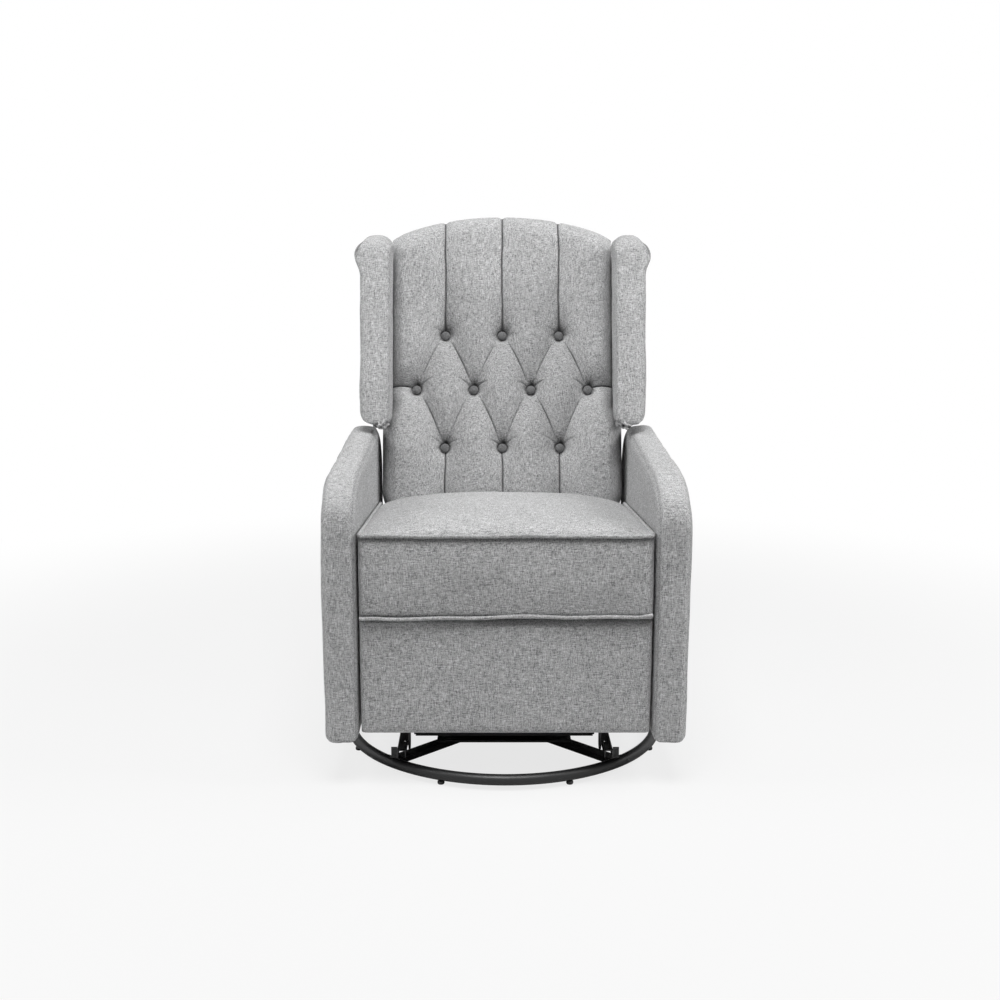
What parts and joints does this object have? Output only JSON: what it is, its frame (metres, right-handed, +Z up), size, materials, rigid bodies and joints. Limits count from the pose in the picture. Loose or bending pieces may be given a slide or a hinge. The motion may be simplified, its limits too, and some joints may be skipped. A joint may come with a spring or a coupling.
{
  "type": "swivel glider recliner",
  "caption": "Upholstered wing-back recliner with a button-tufted back and fold-out footrest, gliding on links above a swivelling steel ring base.",
  "frame": {"origin": "centre of the footprint on the floor, under the closed and upright chair", "axes": "+Z up, +X to the right as seen from in front of the chair, the sitter faces -Y"},
  "size_m": [0.7, 0.8678, 1.114],
  "materials": {
    "upholstery": "heathered light grey woven linen-look cloth",
    "button_cloth": "darker grey woven cloth over the buttons",
    "black_steel": "satin black powder coat",
    "link_steel": "semi-gloss black lacquered steel",
    "glide_plastic": "matt black nylon",
    "timber": "bare plywood and softwood"
  },
  "bodies": {
    "base": {"base_ring": "black_steel", "base_cross": "black_steel", "swivel_lower_race": "link_steel", "swivel_bolt": "link_steel", "glide_foot_1": "glide_plastic", "glide_foot_2": "glide_plastic", "glide_foot_3": "glide_plastic", "glide_foot_4": "glide_plastic", "glide_foot_5": "glide_plastic", "glide_foot_6": "glide_plastic", "glide_foot_7": "glide_plastic", "glide_foot_8": "glide_plastic"},
    "swivel": {"swivel_frame": "black_steel", "glider_tower_left": "black_steel", "glider_tower_right": "black_steel"},
    "swing_front_left": {"swing_link_front_left": "link_steel"},
    "swing_front_right": {"swing_link_front_right": "link_steel"},
    "swing_rear_left": {"swing_link_rear_left": "link_steel"},
    "swing_rear_right": {"swing_link_rear_right": "link_steel"},
    "carriage": {"carriage_rail_left": "black_steel", "carriage_rail_right": "black_steel", "carriage_cross_tube": "black_steel", "rear_panel": "upholstery", "arm_left": "upholstery", "arm_right": "upholstery"},
    "seat_links_front": {"seat_link_front_left": "link_steel", "seat_link_front_right": "link_steel"},
    "seat_links_rear": {"seat_link_rear_left": "link_steel", "seat_link_rear_right": "link_steel"},
    "seat": {"seat_plate_left": "black_steel", "seat_plate_right": "black_steel", "seat_deck": "timber", "seat_cushion": "upholstery"},
    "back": {"back_frame": "upholstery", "back_cushion": "upholstery", "wing_left": "upholstery", "wing_right": "upholstery", "back_bracket_left": "black_steel", "back_bracket_right": "black_steel", "tuft_button_1": "button_cloth", "tuft_button_2": "button_cloth", "tuft_button_3": "button_cloth", "tuft_button_4": "button_cloth", "tuft_button_5": "button_cloth", "tuft_button_6": "button_cloth", "tuft_button_7": "button_cloth", "tuft_button_8": "button_cloth", "tuft_button_9": "button_cloth", "tuft_button_10": "button_cloth"},
    "footrest_drive": {"footrest_drive": "link_steel"},
    "footrest_front_links": {"footrest_front_link_left": "link_steel", "footrest_front_link_right": "link_steel"},
    "footrest_control_links": {"footrest_control_link_left": "link_steel", "footrest_control_link_right": "link_steel"},
    "footrest_stay_links": {"footrest_stay_link_left": "link_steel", "footrest_stay_link_right": "link_steel"},
    "footrest": {"footrest_board": "timber", "footrest_pad": "upholstery", "footrest_frame": "black_steel"}
  },
  "joints": [
    {"name": "swivel_turn", "type": "hinge", "parent": "base", "child": "swivel", "pos_m": [0, -0.09288, 0.026], "axis": [0, 0, 1], "continuous": true},
    {"name": "glide", "type": "hinge", "parent": "swivel", "child": "swing_front_left", "pos_m": [-0.19, -0.30288, 0.16], "axis": [1, 0, 0], "range_deg": [-20, 20]},
    {"name": "glide_front_right", "type": "hinge", "parent": "swivel", "child": "swing_front_right", "pos_m": [0.19, -0.30288, 0.16], "axis": [1, 0, 0], "range_deg": [-20, 20]},
    {"name": "glide_rear_left", "type": "hinge", "parent": "swivel", "child": "swing_rear_left", "pos_m": [-0.19, 0.11712, 0.16], "axis": [1, 0, 0], "range_deg": [-20, 20]},
    {"name": "glide_rear_right", "type": "hinge", "parent": "swivel", "child": "swing_rear_right", "pos_m": [0.19, 0.11712, 0.16], "axis": [1, 0, 0], "range_deg": [-20, 20]},
    {"name": "glide_carriage", "type": "hinge", "parent": "swing_front_left", "child": "carriage", "pos_m": [-0.2, -0.30288, 0.048], "axis": [1, 0, 0], "range_deg": [-20, 20]},
    {"name": "seat_link_front", "type": "hinge", "parent": "carriage", "child": "seat_links_front", "pos_m": [0, -0.20788, 0.222], "axis": [-1, 0, 0], "range_deg": [-43, 0]},
    {"name": "seat_link_rear", "type": "hinge", "parent": "carriage", "child": "seat_links_rear", "pos_m": [0, 0.05212, 0.222], "axis": [-1, 0, 0], "range_deg": [-43, 0]},
    {"name": "seat_level", "type": "hinge", "parent": "seat_links_front", "child": "seat", "pos_m": [0, -0.16773, 0.27934], "axis": [-1, 0, 0], "range_deg": [0, 43]},
    {"name": "back_recline", "type": "hinge", "parent": "seat", "child": "back", "pos_m": [0, 0.14212, 0.4], "axis": [-1, 0, 0], "range_deg": [0, 35]},
    {"name": "footrest_open", "type": "hinge", "parent": "seat", "child": "footrest_drive", "pos_m": [0, -0.30788, 0.29], "axis": [-1, 0, 0], "range_deg": [0, 121.4]},
    {"name": "footrest_front_link", "type": "hinge", "parent": "footrest_drive", "child": "footrest_front_links", "pos_m": [0, -0.24083, 0.14473], "axis": [-1, 0, 0], "range_deg": [-135.4, 0]},
    {"name": "footrest_panel", "type": "hinge", "parent": "footrest_front_links", "child": "footrest", "pos_m": [0, -0.36788, 0.25], "axis": [-1, 0, 0], "range_deg": [0, 106]},
    {"name": "footrest_control_link", "type": "hinge", "parent": "seat", "child": "footrest_control_links", "pos_m": [0, -0.34098, 0.2391], "axis": [-1, 0, 0], "range_deg": [0, 126.3]},
    {"name": "footrest_stay_link", "type": "hinge", "parent": "footrest_drive", "child": "footrest_stay_links", "pos_m": [0, -0.21903, 0.15479], "axis": [-1, 0, 0], "range_deg": [-139.7, 0]}
  ],
  "couplings": [
    {"joint": "glide_front_right", "follows": "glide", "ratio": 1},
    {"joint": "glide_rear_left", "follows": "glide", "ratio": 1},
    {"joint": "glide_rear_right", "follows": "glide", "ratio": 1},
    {"joint": "glide_carriage", "follows": "glide", "ratio": -1},
    {"joint": "seat_link_front", "follows": "back_recline", "ratio": -1.2286},
    {"joint": "seat_link_rear", "follows": "back_recline", "ratio": -1.2286},
    {"joint": "seat_level", "follows": "back_recline", "ratio": 1.2286},
    {"joint": "footrest_front_link", "follows": "footrest_open", "ratio": -1.115},
    {"joint": "footrest_panel", "follows": "footrest_open", "ratio": 0.8728},
    {"joint": "footrest_control_link", "follows": "footrest_open", "ratio": 1.0396},
    {"joint": "footrest_stay_link", "follows": "footrest_open", "ratio": -1.15}
  ]
}
